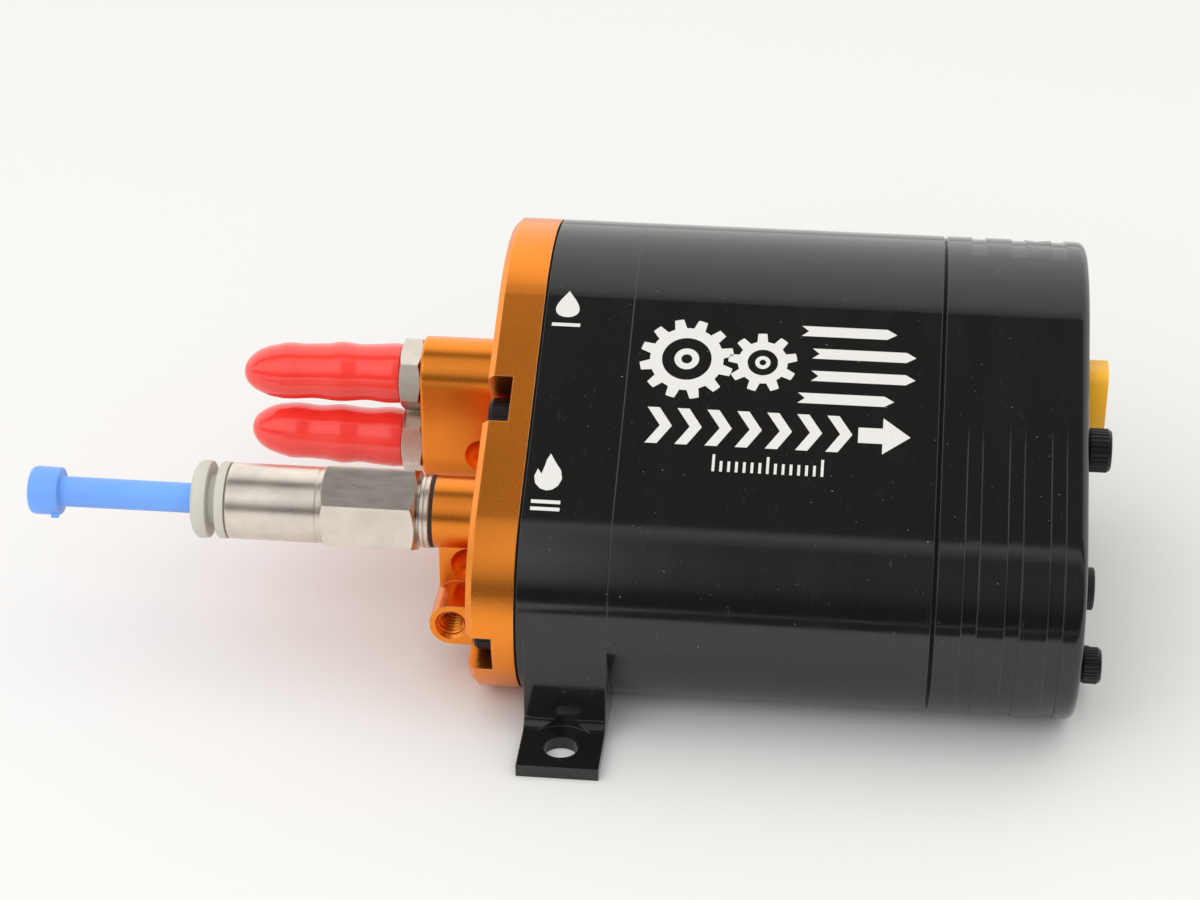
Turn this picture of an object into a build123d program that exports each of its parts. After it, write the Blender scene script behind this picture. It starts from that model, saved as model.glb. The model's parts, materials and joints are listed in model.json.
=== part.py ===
"""Twin gear pump for a model jet turbine: a fuel pump and a start pump in one anodised housing.

X runs along the pump shafts, from the hose fittings (-X) to the power connector (+X).
Y runs across the body, from the start pump (-Y) to the larger fuel pump (+Y).
Z is up. The origin lies midway between the two foot holes, on the plane the feet stand on.
All sizes are in millimetres.
"""
from build123d import *
from math import atan2, cos, degrees, radians, sin, sqrt
import os

os.makedirs("parts", exist_ok=True)

# ---- Body outline: two lobes on one flat base, joined by straight flanks ----
fuel_lobe_radius = 23.1
start_lobe_radius = 14.9
lobe_spacing = 31.5

# ---- Stack of the body along X ----
plate_thickness = 6.0
gasket_thickness = 0.3
ring_thickness = 11.1
housing_length = 39.1
cap_length = 18.1
plate_chamfer = 0.8
joint_chamfer = 0.3

# ---- Mounting feet ----
foot_width = 10.1
foot_setback = 0.9
foot_reach = 8.7
foot_thickness = 1.6
foot_fillet = 1.5
foot_hole_radius = 2.1
foot_hole_offset = 4.5
foot_spotface_radius = 4.6
foot_spotface_height = 3.0

# ---- Body screws: M3 on the flanks and fuel lobe, M2.5 on the start lobe ----
m3_radius = 1.5
m3_head_radius = 2.75
m3_head_height = 3.0
m3_inset = 5.2
m3_socket_flats = 2.5
m25_radius = 1.25
m25_head_radius = 2.25
m25_head_height = 2.5
m25_inset = 4.1
m25_socket_flats = 2.0
screw_clearance = 0.2
notch_clearance = 0.55
m3_head_sink = 0.2
m25_head_sink = 0.7
thread_depth = 8.0
m3_lobe_angles = (50, -50)
m3_rear_lobe_angle = -36
m25_lobe_angles = (195, 280)
column_wall = 1.9

# ---- Rear cap ----
cap_wall = 2.4
cap_rear_wall = 2.2
cap_rear_fillet = 1.2
cap_groove_count = 3
cap_groove_width = 1.8
cap_groove_pitch = 5.1
cap_groove_first = 4.3
cap_groove_narrowing = 0.5

# ---- Pump gears ----
pressure_angle = 20.0
addendum_share = 0.8
dedendum_share = 1.1
gear_backlash = 0.16
gear_thickness = 6.0
gear_side_clearance = 0.1
gear_tip_clearance = 0.1
flank_points = 6
fuel_gear_module = 0.95
fuel_gear_teeth = 12
start_gear_module = 0.8
start_gear_teeth = 10
idler_pin_radius = 1.25
idler_pin_depth = 3.0
running_clearance = 0.04

# ---- Ports ----
fuel_port_rise = 4.75
start_port_rise = 5.3
start_inlet_drop = 5.65
port_passage_radius = 1.4
fitting_thread_radius = 2.5
fitting_thread_length = 5.5
thread_end_gap = 0.4
fuel_boss_rise = 5.2
fuel_boss_radius = 4.8
fuel_boss_height = 10.8
start_boss_radius = 4.6
start_boss_height = 6.05
inlet_boss_radius = 2.75
inlet_boss_stand_out = 3.2
inlet_boss_reach = 9.3
web_thickness = 6.4
web_setback = 0.6
inlet_thread_radius = 1.65
inlet_thread_depth = 6.0
inlet_chamfer = 0.4
boss_edge_fillet = 0.5
relief_radius = 2.7
fuel_relief_drop = 4.4
fuel_relief_gap = 2.6
start_relief_rise = 5.2
start_relief_gap = 1.6
relief_cut = 1.4

# ---- Hose barbs and their vinyl caps ----
barb_hex_flats = 8.0
barb_hex_length = 2.8
barb_neck_radius = 1.9
barb_radius = 2.4
barb_ridge_count = 4
barb_ridge_pitch = 2.8
barb_bore_radius = 1.2
cap_sleeve_clearance = 0.35
cap_sleeve_wall = 0.9
cap_sleeve_length = 21.2
cap_sleeve_gap = 0.3

# ---- Push-in fitting on the start outlet ----
fitting_seal_thickness = 0.5
fitting_seal_radius = 4.6
fitting_flange_radius = 4.7
fitting_flange_thickness = 1.3
fitting_neck_radius = 3.6
fitting_neck_length = 0.4
fitting_hex_flats = 10.0
fitting_hex_length = 12.05
fitting_hex_corner_radius = 5.55
fitting_hex_chamfer = 0.5
fitting_hex_turn = 30
fitting_barrel_radius = 4.85
fitting_barrel_length = 12.3
fitting_ring_radius = 4.9
fitting_ring_length = 1.2
fitting_ring_bore_radius = 3.5
collar_radius = 5.0
collar_length = 2.1
collar_travel = 0.8
collar_gap = 1.15
collar_sleeve_radius = 3.15
collar_sleeve_length = 4.0
tube_radius = 1.95
tube_clearance = 0.35
tube_insertion = 15.0
grab_ring_thickness = 0.6
tube_seal_thickness = 1.6
plug_grip_length = 17.4
plug_head_radius = 3.1
plug_head_length = 4.0

# ---- Motors ----
can_wall = 0.8
can_face = 2.4
end_bell_thickness = 3.0
bearing_length = 2.0
bearing_wall = 1.8
air_gap = 0.4
stator_end_gap = 4.5
motor_fit = 0.1
coil_count = 6
shaft_seal_length = 2.2
shaft_seal_wall = 1.7
fuel_can_radius = 14.0
fuel_can_length = 34.0
fuel_shaft_radius = 1.6
fuel_magnet_radius = 6.0
fuel_yoke_thickness = 2.0
fuel_tooth_width = 3.0
fuel_coil_thickness = 1.1
fuel_lead_radius = 1.0
fuel_lead_inset = 4.0
start_can_radius = 8.0
start_can_length = 29.0
start_shaft_radius = 1.2
start_magnet_radius = 3.0
start_yoke_thickness = 1.1
start_tooth_width = 1.5
start_coil_thickness = 0.5
start_lead_radius = 0.6
start_lead_inset = 2.6
lead_angles = (150, 180, 210)

# ---- Controller board in the rear cap ----
board_thickness = 1.6
board_edge_clearance = 0.6
standoff_length = 5.0
standoff_radius = 1.8
board_screw_radius = 1.0
board_screw_head_radius = 1.8
board_screw_head_height = 1.3
board_screw_depth = 4.0
transistor_size = 3.4
transistor_height = 1.0
transistor_pitch = 4.5
transistor_columns = 3
transistor_rows = 4
transistor_offset_y = 1.0
transistor_offset_z = -1.5
capacitor_radius = 3.0
capacitor_length = 6.0
capacitor_pitch = 7.2
chip_size = 7.0
chip_height = 1.0

# ---- Connectors on the rear face ----
power_width = 5.0
power_height = 12.0
power_stand_out = 2.6
power_offset_y = -12.6
power_offset_z = 8.6
power_corner = 1.4
power_wall = 0.8
power_recess = 4.0
power_pin_radius = 0.9
power_pin_pitch = 5.2
power_pin_shortfall = 0.8
connector_clearance = 0.1
socket_radius = 2.65
socket_stand_out = 1.7
socket_rise = 1.6
socket_recess = 1.2
socket_wall = 0.6
socket_pin_radius = 0.3
socket_pin_circle = 1.2
socket_pin_count = 3

# ---- Places worked out from the sizes above ----
lobe_difference = fuel_lobe_radius - start_lobe_radius
fuel_y = (lobe_spacing - lobe_difference) / 2
start_y = fuel_y - lobe_spacing
fuel_z = fuel_lobe_radius
start_z = start_lobe_radius
half_width = (lobe_spacing + fuel_lobe_radius + start_lobe_radius) / 2

ring_front = -(foot_width / 2 + foot_setback)
ring_back = ring_front + ring_thickness
plate_back = ring_front - gasket_thickness
plate_front = plate_back - plate_thickness
housing_back = ring_back + housing_length
cap_back = housing_back + cap_length

fuel_centre_distance = fuel_gear_module * fuel_gear_teeth
start_centre_distance = start_gear_module * start_gear_teeth
fuel_mesh_y = fuel_y - fuel_centre_distance / 2
start_mesh_y = start_y + start_centre_distance / 2
fuel_face = plate_front - fuel_boss_height
start_face = plate_front - start_boss_height
start_outlet_z = start_z + start_port_rise
start_inlet_z = start_z - start_inlet_drop

board_front = housing_back + standoff_length
board_back = board_front + board_thickness


def save(builder, name):
    """Label the finished piece and write it as one STEP file."""
    builder.part.label = name
    export_step(builder.part, f"parts/{name}.step")


def section(x):
    """Plane across the body at x, with Y to the right and Z up."""
    return Plane.YZ.offset(x)


def flank_tilt(narrowing):
    """Slope of the upper flank in degrees, for lobes moved together by narrowing each."""
    return 2 * degrees(atan2(lobe_difference, lobe_spacing - 2 * narrowing))


def on_circle(centre, radius, angle):
    """Point on a circle across the body, at an angle in degrees from +Y."""
    return (centre[0] + radius * cos(radians(angle)), centre[1] + radius * sin(radians(angle)))


def body_outline(inset=0.0, narrowing=0.0, mode=Mode.ADD):
    """Face of the body's outline, drawn inside the current sketch."""
    tilt = flank_tilt(narrowing)
    fuel_centre = (fuel_y - narrowing, fuel_z)
    start_centre = (start_y + narrowing, start_z)
    fuel_arc = fuel_lobe_radius - inset
    start_arc = start_lobe_radius - inset
    with BuildLine() as outline:
        Line((start_centre[0], inset), (fuel_centre[0], inset))
        CenterArc(fuel_centre, fuel_arc, -90, 180 + tilt)
        Line(on_circle(fuel_centre, fuel_arc, 90 + tilt), on_circle(start_centre, start_arc, 90 + tilt))
        CenterArc(start_centre, start_arc, 90 + tilt, 180 - tilt)
    make_face(outline.edges(), mode=mode)


def flank_screw_places():
    """M3 screws: middle of the upper flank, middle of the base, and round the fuel lobe."""
    up = 90 + flank_tilt(0)
    upper_fuel = on_circle((fuel_y, fuel_z), fuel_lobe_radius - m3_inset, up)
    upper_start = on_circle((start_y, start_z), start_lobe_radius - m3_inset, up)
    middle = ((upper_fuel[0] + upper_start[0]) / 2, (upper_fuel[1] + upper_start[1]) / 2)
    places = [(middle, up), (((fuel_y + start_y) / 2, m3_inset), -90)]
    for angle in m3_lobe_angles:
        places.append((on_circle((fuel_y, fuel_z), fuel_lobe_radius - m3_inset, angle), angle))
    return places


def lobe_screw_places():
    """M2.5 screws round the start lobe."""
    radius = start_lobe_radius - m25_inset
    return [(on_circle((start_y, start_z), radius, angle), angle) for angle in m25_lobe_angles]


m3_places = flank_screw_places()
m25_places = lobe_screw_places()
m3_points = [point for point, angle in m3_places]
m3_rear_points = [m3_points[0],
                  on_circle((fuel_y, fuel_z), fuel_lobe_radius - m3_inset, m3_rear_lobe_angle)]
m25_points = [point for point, angle in m25_places]


def drill(points, radius, start, end):
    """Cut round holes along X through the current part, from x = start to x = end."""
    with BuildSketch(section(start)) as holes:
        with Locations(*points):
            Circle(radius)
    extrude(holes.sketch, amount=end - start, mode=Mode.SUBTRACT)


def add_discs(points, radius, start, end):
    """Add round bars along X to the current part, from x = start to x = end."""
    with BuildSketch(section(start)) as discs:
        with Locations(*points):
            Circle(radius)
    extrude(discs.sketch, amount=end - start)


def head_notch(places, head_radius, depth):
    """Cut the open-sided pockets that the screw heads sit in, at the plate's front."""
    half = head_radius + notch_clearance
    with BuildSketch(section(plate_front)) as notches:
        for point, angle in places:
            with Locations(Location((point[0], point[1], 0), (0, 0, angle))):
                Circle(half)
                Rectangle(m3_inset * 3, 2 * half, align=(Align.MIN, Align.CENTER))
    extrude(notches.sketch, amount=depth, mode=Mode.SUBTRACT)


def gear_pocket(centre_a, centre_b, tip_radius, mesh, rise):
    """Face of the chamber round a gear pair, with the port reliefs above and below the mesh."""
    with Locations(centre_a, centre_b):
        Circle(tip_radius + gear_tip_clearance)
    with Locations((mesh[0], mesh[1] + rise / 2 + 1), (mesh[0], mesh[1] - rise / 2 - 1)):
        SlotCenterToCenter(rise - 2, 2 * port_passage_radius, rotation=90)


fuel_tip_radius = fuel_centre_distance / 2 + addendum_share * fuel_gear_module
start_tip_radius = start_centre_distance / 2 + addendum_share * start_gear_module
fuel_idler_centre = (fuel_y - fuel_centre_distance, fuel_z)
start_idler_centre = (start_y + start_centre_distance, start_z)
fuel_ports = ((fuel_mesh_y, fuel_z + fuel_port_rise), (fuel_mesh_y, fuel_z - fuel_port_rise))
start_ports = ((start_mesh_y, start_outlet_z), (start_mesh_y, start_inlet_z))


def pump_chambers():
    """Faces of both gear chambers."""
    gear_pocket((fuel_y, fuel_z), fuel_idler_centre, fuel_tip_radius, (fuel_mesh_y, fuel_z), fuel_port_rise)
    gear_pocket((start_y, start_z), start_idler_centre, start_tip_radius, (start_mesh_y, start_z),
                start_port_rise)


# ---- Orange manifold: end plate of both pumps, with the port bosses ----
inlet_x = plate_front - inlet_boss_stand_out
inlet_mouth_y = start_mesh_y - inlet_boss_reach
inlet_plane = Plane(origin=(inlet_x, inlet_mouth_y, start_inlet_z), x_dir=(1, 0, 0), z_dir=(0, -1, 0))

with BuildPart() as pump_manifold:
    with BuildSketch(section(plate_front)):
        body_outline()
    extrude(amount=plate_thickness)
    chamfer(pump_manifold.faces().sort_by(Axis.X)[0].outer_wire().edges(), plate_chamfer)
    with BuildSketch(section(fuel_face)):
        with Locations((fuel_mesh_y, fuel_z)):
            SlotCenterToCenter(2 * fuel_boss_rise, 2 * fuel_boss_radius, rotation=90)
    extrude(amount=fuel_boss_height + plate_thickness / 2)
    fillet(pump_manifold.faces().sort_by(Axis.X)[0].outer_wire().edges(), boss_edge_fillet)
    with BuildSketch(section(start_face)):
        with Locations(start_ports[0]):
            Circle(start_boss_radius)
    extrude(amount=start_boss_height + plate_thickness / 2)
    with BuildSketch(section(start_face + web_setback)):
        with Locations((start_mesh_y, (start_outlet_z + start_inlet_z) / 2)):
            Rectangle(web_thickness, start_outlet_z - start_inlet_z)
        with Locations(start_ports[1]):
            Circle(web_thickness / 2)
    extrude(amount=start_boss_height - web_setback + plate_thickness / 2)
    with BuildSketch(inlet_plane):
        Circle(inlet_boss_radius)
        Rectangle(inlet_boss_stand_out + plate_thickness / 2, 2 * inlet_boss_radius,
                  align=(Align.MIN, Align.CENTER))
    extrude(amount=-inlet_boss_reach)
    fuel_relief_y = fuel_mesh_y - fuel_boss_radius - relief_radius + relief_cut
    start_relief_y = start_mesh_y - web_thickness / 2 - relief_radius + relief_cut
    with Locations((plate_front - fuel_relief_gap, fuel_relief_y, fuel_z - fuel_relief_drop),
                   (plate_front - start_relief_gap, start_relief_y, start_inlet_z + start_relief_rise)):
        Sphere(relief_radius, mode=Mode.SUBTRACT)
    head_notch(m3_places, m3_head_radius, m3_head_height + m3_head_sink)
    head_notch(m25_places, m25_head_radius, m25_head_height + m25_head_sink)
    drill(m3_points, m3_radius + screw_clearance, plate_front, plate_back)
    drill(m25_points, m25_radius + screw_clearance, plate_front, plate_back)
    drill(fuel_ports, fitting_thread_radius, fuel_face, fuel_face + fitting_thread_length + thread_end_gap)
    drill(fuel_ports, port_passage_radius, fuel_face, plate_back)
    drill(start_ports[:1], fitting_thread_radius, start_face,
          start_face + fitting_thread_length + thread_end_gap)
    drill(start_ports[:1], port_passage_radius, start_face, plate_back)
    drill(start_ports[1:], port_passage_radius, inlet_x, plate_back)
    with BuildSketch(inlet_plane):
        Circle(port_passage_radius)
    extrude(amount=-inlet_boss_reach, mode=Mode.SUBTRACT)
    with BuildSketch(inlet_plane):
        Circle(inlet_thread_radius)
    extrude(amount=-inlet_thread_depth, mode=Mode.SUBTRACT)
    with BuildSketch(inlet_plane):
        Circle(inlet_thread_radius + inlet_chamfer)
    extrude(amount=-inlet_chamfer, taper=45, mode=Mode.SUBTRACT)
save(pump_manifold, "pump_manifold")

# ---- Gasket between the manifold and the mounting ring ----
with BuildPart() as manifold_gasket:
    with BuildSketch(section(plate_back)):
        body_outline(inset=plate_chamfer)
        with Locations(*m3_points):
            Circle(m3_radius + screw_clearance, mode=Mode.SUBTRACT)
        with Locations(*m25_points):
            Circle(m25_radius + screw_clearance, mode=Mode.SUBTRACT)
    extrude(amount=gasket_thickness)
    with BuildSketch(section(plate_back)):
        pump_chambers()
    extrude(amount=gasket_thickness, mode=Mode.SUBTRACT)
save(manifold_gasket, "manifold_gasket")

# ---- Black mounting ring: pump bodies, shaft seals and the two feet ----
chamber_back = ring_front + gear_thickness + gear_side_clearance
foot_front = -foot_width / 2

with BuildPart() as mount_ring:
    with BuildSketch(section(ring_front)):
        body_outline()
    extrude(amount=ring_thickness)
    for side, lobe_y in ((-1, start_y), (1, fuel_y)):
        wall_top = start_z if side < 0 else fuel_z
        wall_y = side * half_width
        toe_y = side * (half_width + foot_reach)
        bend = foot_fillet * (1 - cos(radians(45)))
        with BuildSketch(section(foot_front)):
            with BuildLine():
                Polyline((lobe_y, wall_top), (lobe_y, 0), (toe_y, 0), (toe_y, foot_thickness),
                         (wall_y + side * foot_fillet, foot_thickness))
                ThreePointArc((wall_y + side * foot_fillet, foot_thickness),
                              (wall_y + side * bend, foot_thickness + bend),
                              (wall_y, foot_thickness + foot_fillet))
                Polyline((wall_y, foot_thickness + foot_fillet), (wall_y, wall_top), (lobe_y, wall_top))
            make_face()
        extrude(amount=foot_width)
    hole_y = half_width + foot_hole_offset
    with BuildSketch(Plane.XY.offset(foot_thickness)):
        with Locations((0, hole_y), (0, -hole_y)):
            Circle(foot_spotface_radius)
    extrude(amount=foot_spotface_height, mode=Mode.SUBTRACT)
    with BuildSketch(Plane.XY):
        with Locations((0, hole_y), (0, -hole_y)):
            Circle(foot_hole_radius)
    extrude(amount=foot_thickness, mode=Mode.SUBTRACT)
    with BuildSketch(section(ring_front)):
        pump_chambers()
    extrude(amount=gear_thickness + gear_side_clearance, mode=Mode.SUBTRACT)
    drill([fuel_idler_centre, start_idler_centre], idler_pin_radius, ring_front,
          chamber_back + idler_pin_depth)
    for centre, shaft in (((fuel_y, fuel_z), fuel_shaft_radius), ((start_y, start_z), start_shaft_radius)):
        drill([centre], shaft + running_clearance, ring_front, ring_back)
        drill([centre], shaft + shaft_seal_wall, ring_back - shaft_seal_length, ring_back)
    drill(m3_points, m3_radius + screw_clearance, ring_front, ring_back)
    drill(m25_points, m25_radius + screw_clearance, ring_front, ring_back)
save(mount_ring, "mount_ring")

# ---- Black main housing: one block bored for both motors ----
with BuildPart() as main_housing:
    with BuildSketch(section(ring_back)):
        body_outline()
    extrude(amount=housing_length)
    chamfer(main_housing.faces().sort_by(Axis.X)[-1].outer_wire().edges(), joint_chamfer)
    drill([(fuel_y, fuel_z)], fuel_can_radius + motor_fit, ring_back, housing_back)
    drill([(start_y, start_z)], start_can_radius + motor_fit, ring_back, housing_back)
    for points, radius in ((m3_points, m3_radius), (m25_points, m25_radius)):
        drill(points, radius, ring_back, ring_back + thread_depth + thread_end_gap)
    for points, radius in ((m3_rear_points, m3_radius), (m25_points, m25_radius)):
        drill(points, radius, housing_back - thread_depth - thread_end_gap, housing_back)
    standoff_points = [on_circle((fuel_y, fuel_z), (fuel_can_radius + fuel_lobe_radius - cap_wall) / 2, angle)
                       for angle in (0, 178, 268)]
    drill(standoff_points, board_screw_radius, housing_back - board_screw_depth - thread_end_gap,
          housing_back)
save(main_housing, "main_housing")

# ---- Black rear cap: ribbed cover over the controller board ----
power_y = fuel_y + power_offset_y
power_z = fuel_z + power_offset_z
socket_z = start_z + socket_rise
cavity_back = cap_back - cap_rear_wall
m3_column = m3_radius + screw_clearance + column_wall
m25_column = m25_radius + screw_clearance + column_wall

with BuildPart() as rear_cap:
    with BuildSketch(section(housing_back)):
        body_outline()
    extrude(amount=cap_length)
    chamfer(rear_cap.faces().sort_by(Axis.X)[0].outer_wire().edges(), joint_chamfer)
    fillet(rear_cap.faces().sort_by(Axis.X)[-1].outer_wire().edges(), cap_rear_fillet)
    for index in range(cap_groove_count):
        groove_start = housing_back + cap_groove_first + index * cap_groove_pitch - cap_groove_width / 2
        with BuildSketch(section(groove_start)):
            body_outline(inset=-1)
            body_outline(narrowing=cap_groove_narrowing, mode=Mode.SUBTRACT)
        extrude(amount=cap_groove_width, mode=Mode.SUBTRACT)
    with BuildSketch(section(housing_back)):
        body_outline(inset=cap_wall)
        with Locations(*m3_rear_points):
            Circle(m3_column, mode=Mode.SUBTRACT)
        with Locations(*m25_points):
            Circle(m25_column, mode=Mode.SUBTRACT)
    extrude(amount=cap_length - cap_rear_wall, mode=Mode.SUBTRACT)
    drill(m3_rear_points, m3_radius + screw_clearance, housing_back, cap_back)
    drill(m25_points, m25_radius + screw_clearance, housing_back, cap_back)
    with BuildSketch(section(cavity_back)):
        with Locations((power_y, power_z)):
            RectangleRounded(power_width + 2 * connector_clearance, power_height + 2 * connector_clearance,
                             power_corner + connector_clearance)
        with Locations((start_y, socket_z)):
            Circle(socket_radius + connector_clearance)
    extrude(amount=cap_rear_wall, mode=Mode.SUBTRACT)
save(rear_cap, "rear_cap")


# ---- Body screws: socket cap screws, one node for each size and end ----
def cap_screws(name, points, shank_radius, head_radius, head_height, socket_flats, seat, tip):
    """Socket cap screws with heads outside x = seat and tips at x = tip."""
    outward = -1 if tip > seat else 1
    crown = seat + outward * head_height
    with BuildPart() as screws:
        for point in points:
            with BuildSketch(section(seat)):
                with Locations(point):
                    Circle(head_radius)
            extrude(amount=outward * head_height)
            with BuildSketch(section(crown)):
                with Locations(point):
                    RegularPolygon(socket_flats / 2, 6, major_radius=False)
            extrude(amount=-outward * head_height / 2, mode=Mode.SUBTRACT)
            with BuildSketch(section(seat)):
                with Locations(point):
                    Circle(shank_radius)
            extrude(amount=tip - seat)
    save(screws, name)


m3_seat = plate_front + m3_head_height + m3_head_sink
m25_seat = plate_front + m25_head_height + m25_head_sink
front_tip = ring_back + thread_depth
rear_tip = housing_back - thread_depth
cap_screws("front_screws_m3", m3_points, m3_radius, m3_head_radius, m3_head_height, m3_socket_flats,
           m3_seat, front_tip)
cap_screws("front_screws_m2_5", m25_points, m25_radius, m25_head_radius, m25_head_height,
           m25_socket_flats, m25_seat, front_tip)
cap_screws("rear_screws_m3", m3_rear_points, m3_radius, m3_head_radius, m3_head_height, m3_socket_flats,
           cap_back, rear_tip)
cap_screws("rear_screws_m2_5", m25_points, m25_radius, m25_head_radius, m25_head_height,
           m25_socket_flats, cap_back, rear_tip)


# ---- Pump gears ----
def involute_angle(radius, base_radius):
    """Polar angle of an involute at a radius, in radians."""
    roll = sqrt(max((radius / base_radius) ** 2 - 1, 0))
    return roll - atan2(roll, 1)


def pump_gear(name, centre, gear_module, teeth, bore_radius, turned):
    """Spur gear with involute flanks, one tooth on +Y when turned is zero."""
    pitch_radius = gear_module * teeth / 2
    base_radius = pitch_radius * cos(radians(pressure_angle))
    tip_radius = pitch_radius + addendum_share * gear_module
    root_radius = pitch_radius - dedendum_share * gear_module
    half_tooth = radians(90 / teeth) - gear_backlash / (2 * pitch_radius)
    offset_angle = half_tooth + involute_angle(pitch_radius, base_radius)
    flank = []
    for step in range(flank_points):
        radius = base_radius + (tip_radius - base_radius) * step / (flank_points - 1)
        flank.append((radius, degrees(offset_angle - involute_angle(radius, base_radius))))
    upper = [(root_radius * 0.98, flank[0][1])] + flank
    right = [on_circle((0, 0), radius, -angle) for radius, angle in upper]
    left = [on_circle((0, 0), radius, angle) for radius, angle in reversed(upper)]
    with BuildPart() as gear:
        with BuildSketch(section(ring_front)):
            with Locations(centre):
                Circle(root_radius)
            for index in range(teeth):
                with Locations(Location((centre[0], centre[1], 0), (0, 0, turned + 360 * index / teeth))):
                    Polygon(*right, *left, align=None)
            with Locations(centre):
                Circle(bore_radius, mode=Mode.SUBTRACT)
        extrude(amount=gear_thickness)
    save(gear, name)


fuel_centre = (fuel_y, fuel_z)
start_centre = (start_y, start_z)
idler_bore = idler_pin_radius + running_clearance
pump_gear("fuel_drive_gear", fuel_centre, fuel_gear_module, fuel_gear_teeth, fuel_shaft_radius, 180)
pump_gear("fuel_idler_gear", fuel_idler_centre, fuel_gear_module, fuel_gear_teeth, idler_bore,
          180 / fuel_gear_teeth)
pump_gear("start_drive_gear", start_centre, start_gear_module, start_gear_teeth, start_shaft_radius, 0)
pump_gear("start_idler_gear", start_idler_centre, start_gear_module, start_gear_teeth, idler_bore,
          180 + 180 / start_gear_teeth)

for name, centre in (("fuel_idler_pin", fuel_idler_centre), ("start_idler_pin", start_idler_centre)):
    with BuildPart() as pin:
        add_discs([centre], idler_pin_radius, ring_front, chamber_back + idler_pin_depth)
    save(pin, name)

for name, centre, shaft in (("fuel_shaft_seal", fuel_centre, fuel_shaft_radius),
                            ("start_shaft_seal", start_centre, start_shaft_radius)):
    with BuildPart() as seal:
        add_discs([centre], shaft + shaft_seal_wall, ring_back - shaft_seal_length, ring_back)
        drill([centre], shaft + running_clearance, ring_back - shaft_seal_length, ring_back)
    save(seal, name)


# ---- Motors ----
def build_motor(prefix, centre, can_radius, can_length, shaft, magnet_radius, yoke_thickness,
                tooth_width, coil_thickness, lead_radius, lead_inset):
    """Brushless motor with its can against the ring's back face and leads to the board."""
    front = ring_back
    back = front + can_length
    bell_front = back - end_bell_thickness
    bearing_radius = shaft + bearing_wall
    inner_radius = can_radius - can_wall
    stack_front = front + can_face + stator_end_gap
    stack_back = bell_front - stator_end_gap
    stator_bore = magnet_radius + air_gap
    yoke_inner = inner_radius - yoke_thickness

    with BuildPart() as can:
        add_discs([centre], can_radius, front, back)
        drill([centre], inner_radius, front + can_face, back)
        drill([centre], bearing_radius, front + can_face - bearing_length, front + can_face)
        drill([centre], shaft + air_gap, front, front + can_face)
    save(can, f"{prefix}_motor_can")

    with BuildPart() as end_bell:
        add_discs([centre], inner_radius, bell_front, back)
        drill([centre], bearing_radius, bell_front, bell_front + bearing_length)
        drill([centre], shaft + air_gap, bell_front, back)
    save(end_bell, f"{prefix}_motor_end_bell")

    with BuildPart() as bearings:
        for start in (front + can_face - bearing_length, bell_front):
            add_discs([centre], bearing_radius, start, start + bearing_length)
            drill([centre], shaft + running_clearance, start, start + bearing_length)
    save(bearings, f"{prefix}_motor_bearings")

    with BuildPart() as stator:
        with BuildSketch(section(stack_front)):
            with Locations(centre):
                Circle(inner_radius)
                Circle(yoke_inner, mode=Mode.SUBTRACT)
            for index in range(coil_count):
                with Locations(Location((centre[0], centre[1], 0), (0, 0, 360 * index / coil_count))):
                    with Locations(((stator_bore + inner_radius - yoke_thickness / 2) / 2, 0)):
                        Rectangle(inner_radius - yoke_thickness / 2 - stator_bore, tooth_width)
            with Locations(centre):
                Circle(stator_bore, mode=Mode.SUBTRACT)
        extrude(amount=stack_back - stack_front)
    save(stator, f"{prefix}_stator")

    stack_length = stack_back - stack_front
    coil_inner = stator_bore + coil_thickness
    with BuildPart() as coils:
        for index in range(coil_count):
            angle = radians(360 * index / coil_count)
            outward = (0, cos(angle), sin(angle))
            seat = ((stack_front + stack_back) / 2, centre[0] + coil_inner * outward[1],
                    centre[1] + coil_inner * outward[2])
            with BuildSketch(Plane(origin=seat, x_dir=(1, 0, 0), z_dir=outward)):
                Rectangle(stack_length + 2 * coil_thickness, tooth_width + 2 * coil_thickness)
                Rectangle(stack_length, tooth_width, mode=Mode.SUBTRACT)
            extrude(amount=yoke_inner - coil_thickness - coil_inner)
    save(coils, f"{prefix}_coils")

    with BuildPart() as magnet:
        add_discs([centre], magnet_radius, stack_front, stack_back)
        drill([centre], shaft, stack_front, stack_back)
    save(magnet, f"{prefix}_rotor_magnet")

    with BuildPart() as drive_shaft:
        add_discs([centre], shaft, ring_front + gear_side_clearance, back)
    save(drive_shaft, f"{prefix}_shaft")

    with BuildPart() as leads:
        add_discs([on_circle(centre, can_radius - lead_inset, angle) for angle in lead_angles], lead_radius,
                  back, board_front)
    save(leads, f"{prefix}_phase_leads")


build_motor("fuel", fuel_centre, fuel_can_radius, fuel_can_length, fuel_shaft_radius, fuel_magnet_radius,
            fuel_yoke_thickness, fuel_tooth_width, fuel_coil_thickness, fuel_lead_radius, fuel_lead_inset)
build_motor("start", start_centre, start_can_radius, start_can_length, start_shaft_radius,
            start_magnet_radius, start_yoke_thickness, start_tooth_width, start_coil_thickness,
            start_lead_radius, start_lead_inset)

# ---- Controller board and what it carries ----
with BuildPart() as controller_board:
    with BuildSketch(section(board_front)):
        body_outline(inset=cap_wall + board_edge_clearance)
        with Locations(*m3_rear_points):
            Circle(m3_column + board_edge_clearance, mode=Mode.SUBTRACT)
        with Locations(*m25_points):
            Circle(m25_column + board_edge_clearance, mode=Mode.SUBTRACT)
        with Locations(*standoff_points):
            Circle(board_screw_radius, mode=Mode.SUBTRACT)
    extrude(amount=board_thickness)
save(controller_board, "controller_board")

with BuildPart() as board_standoffs:
    add_discs(standoff_points, standoff_radius, housing_back, board_front)
    drill(standoff_points, board_screw_radius, housing_back, board_front)
save(board_standoffs, "board_standoffs")

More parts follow.
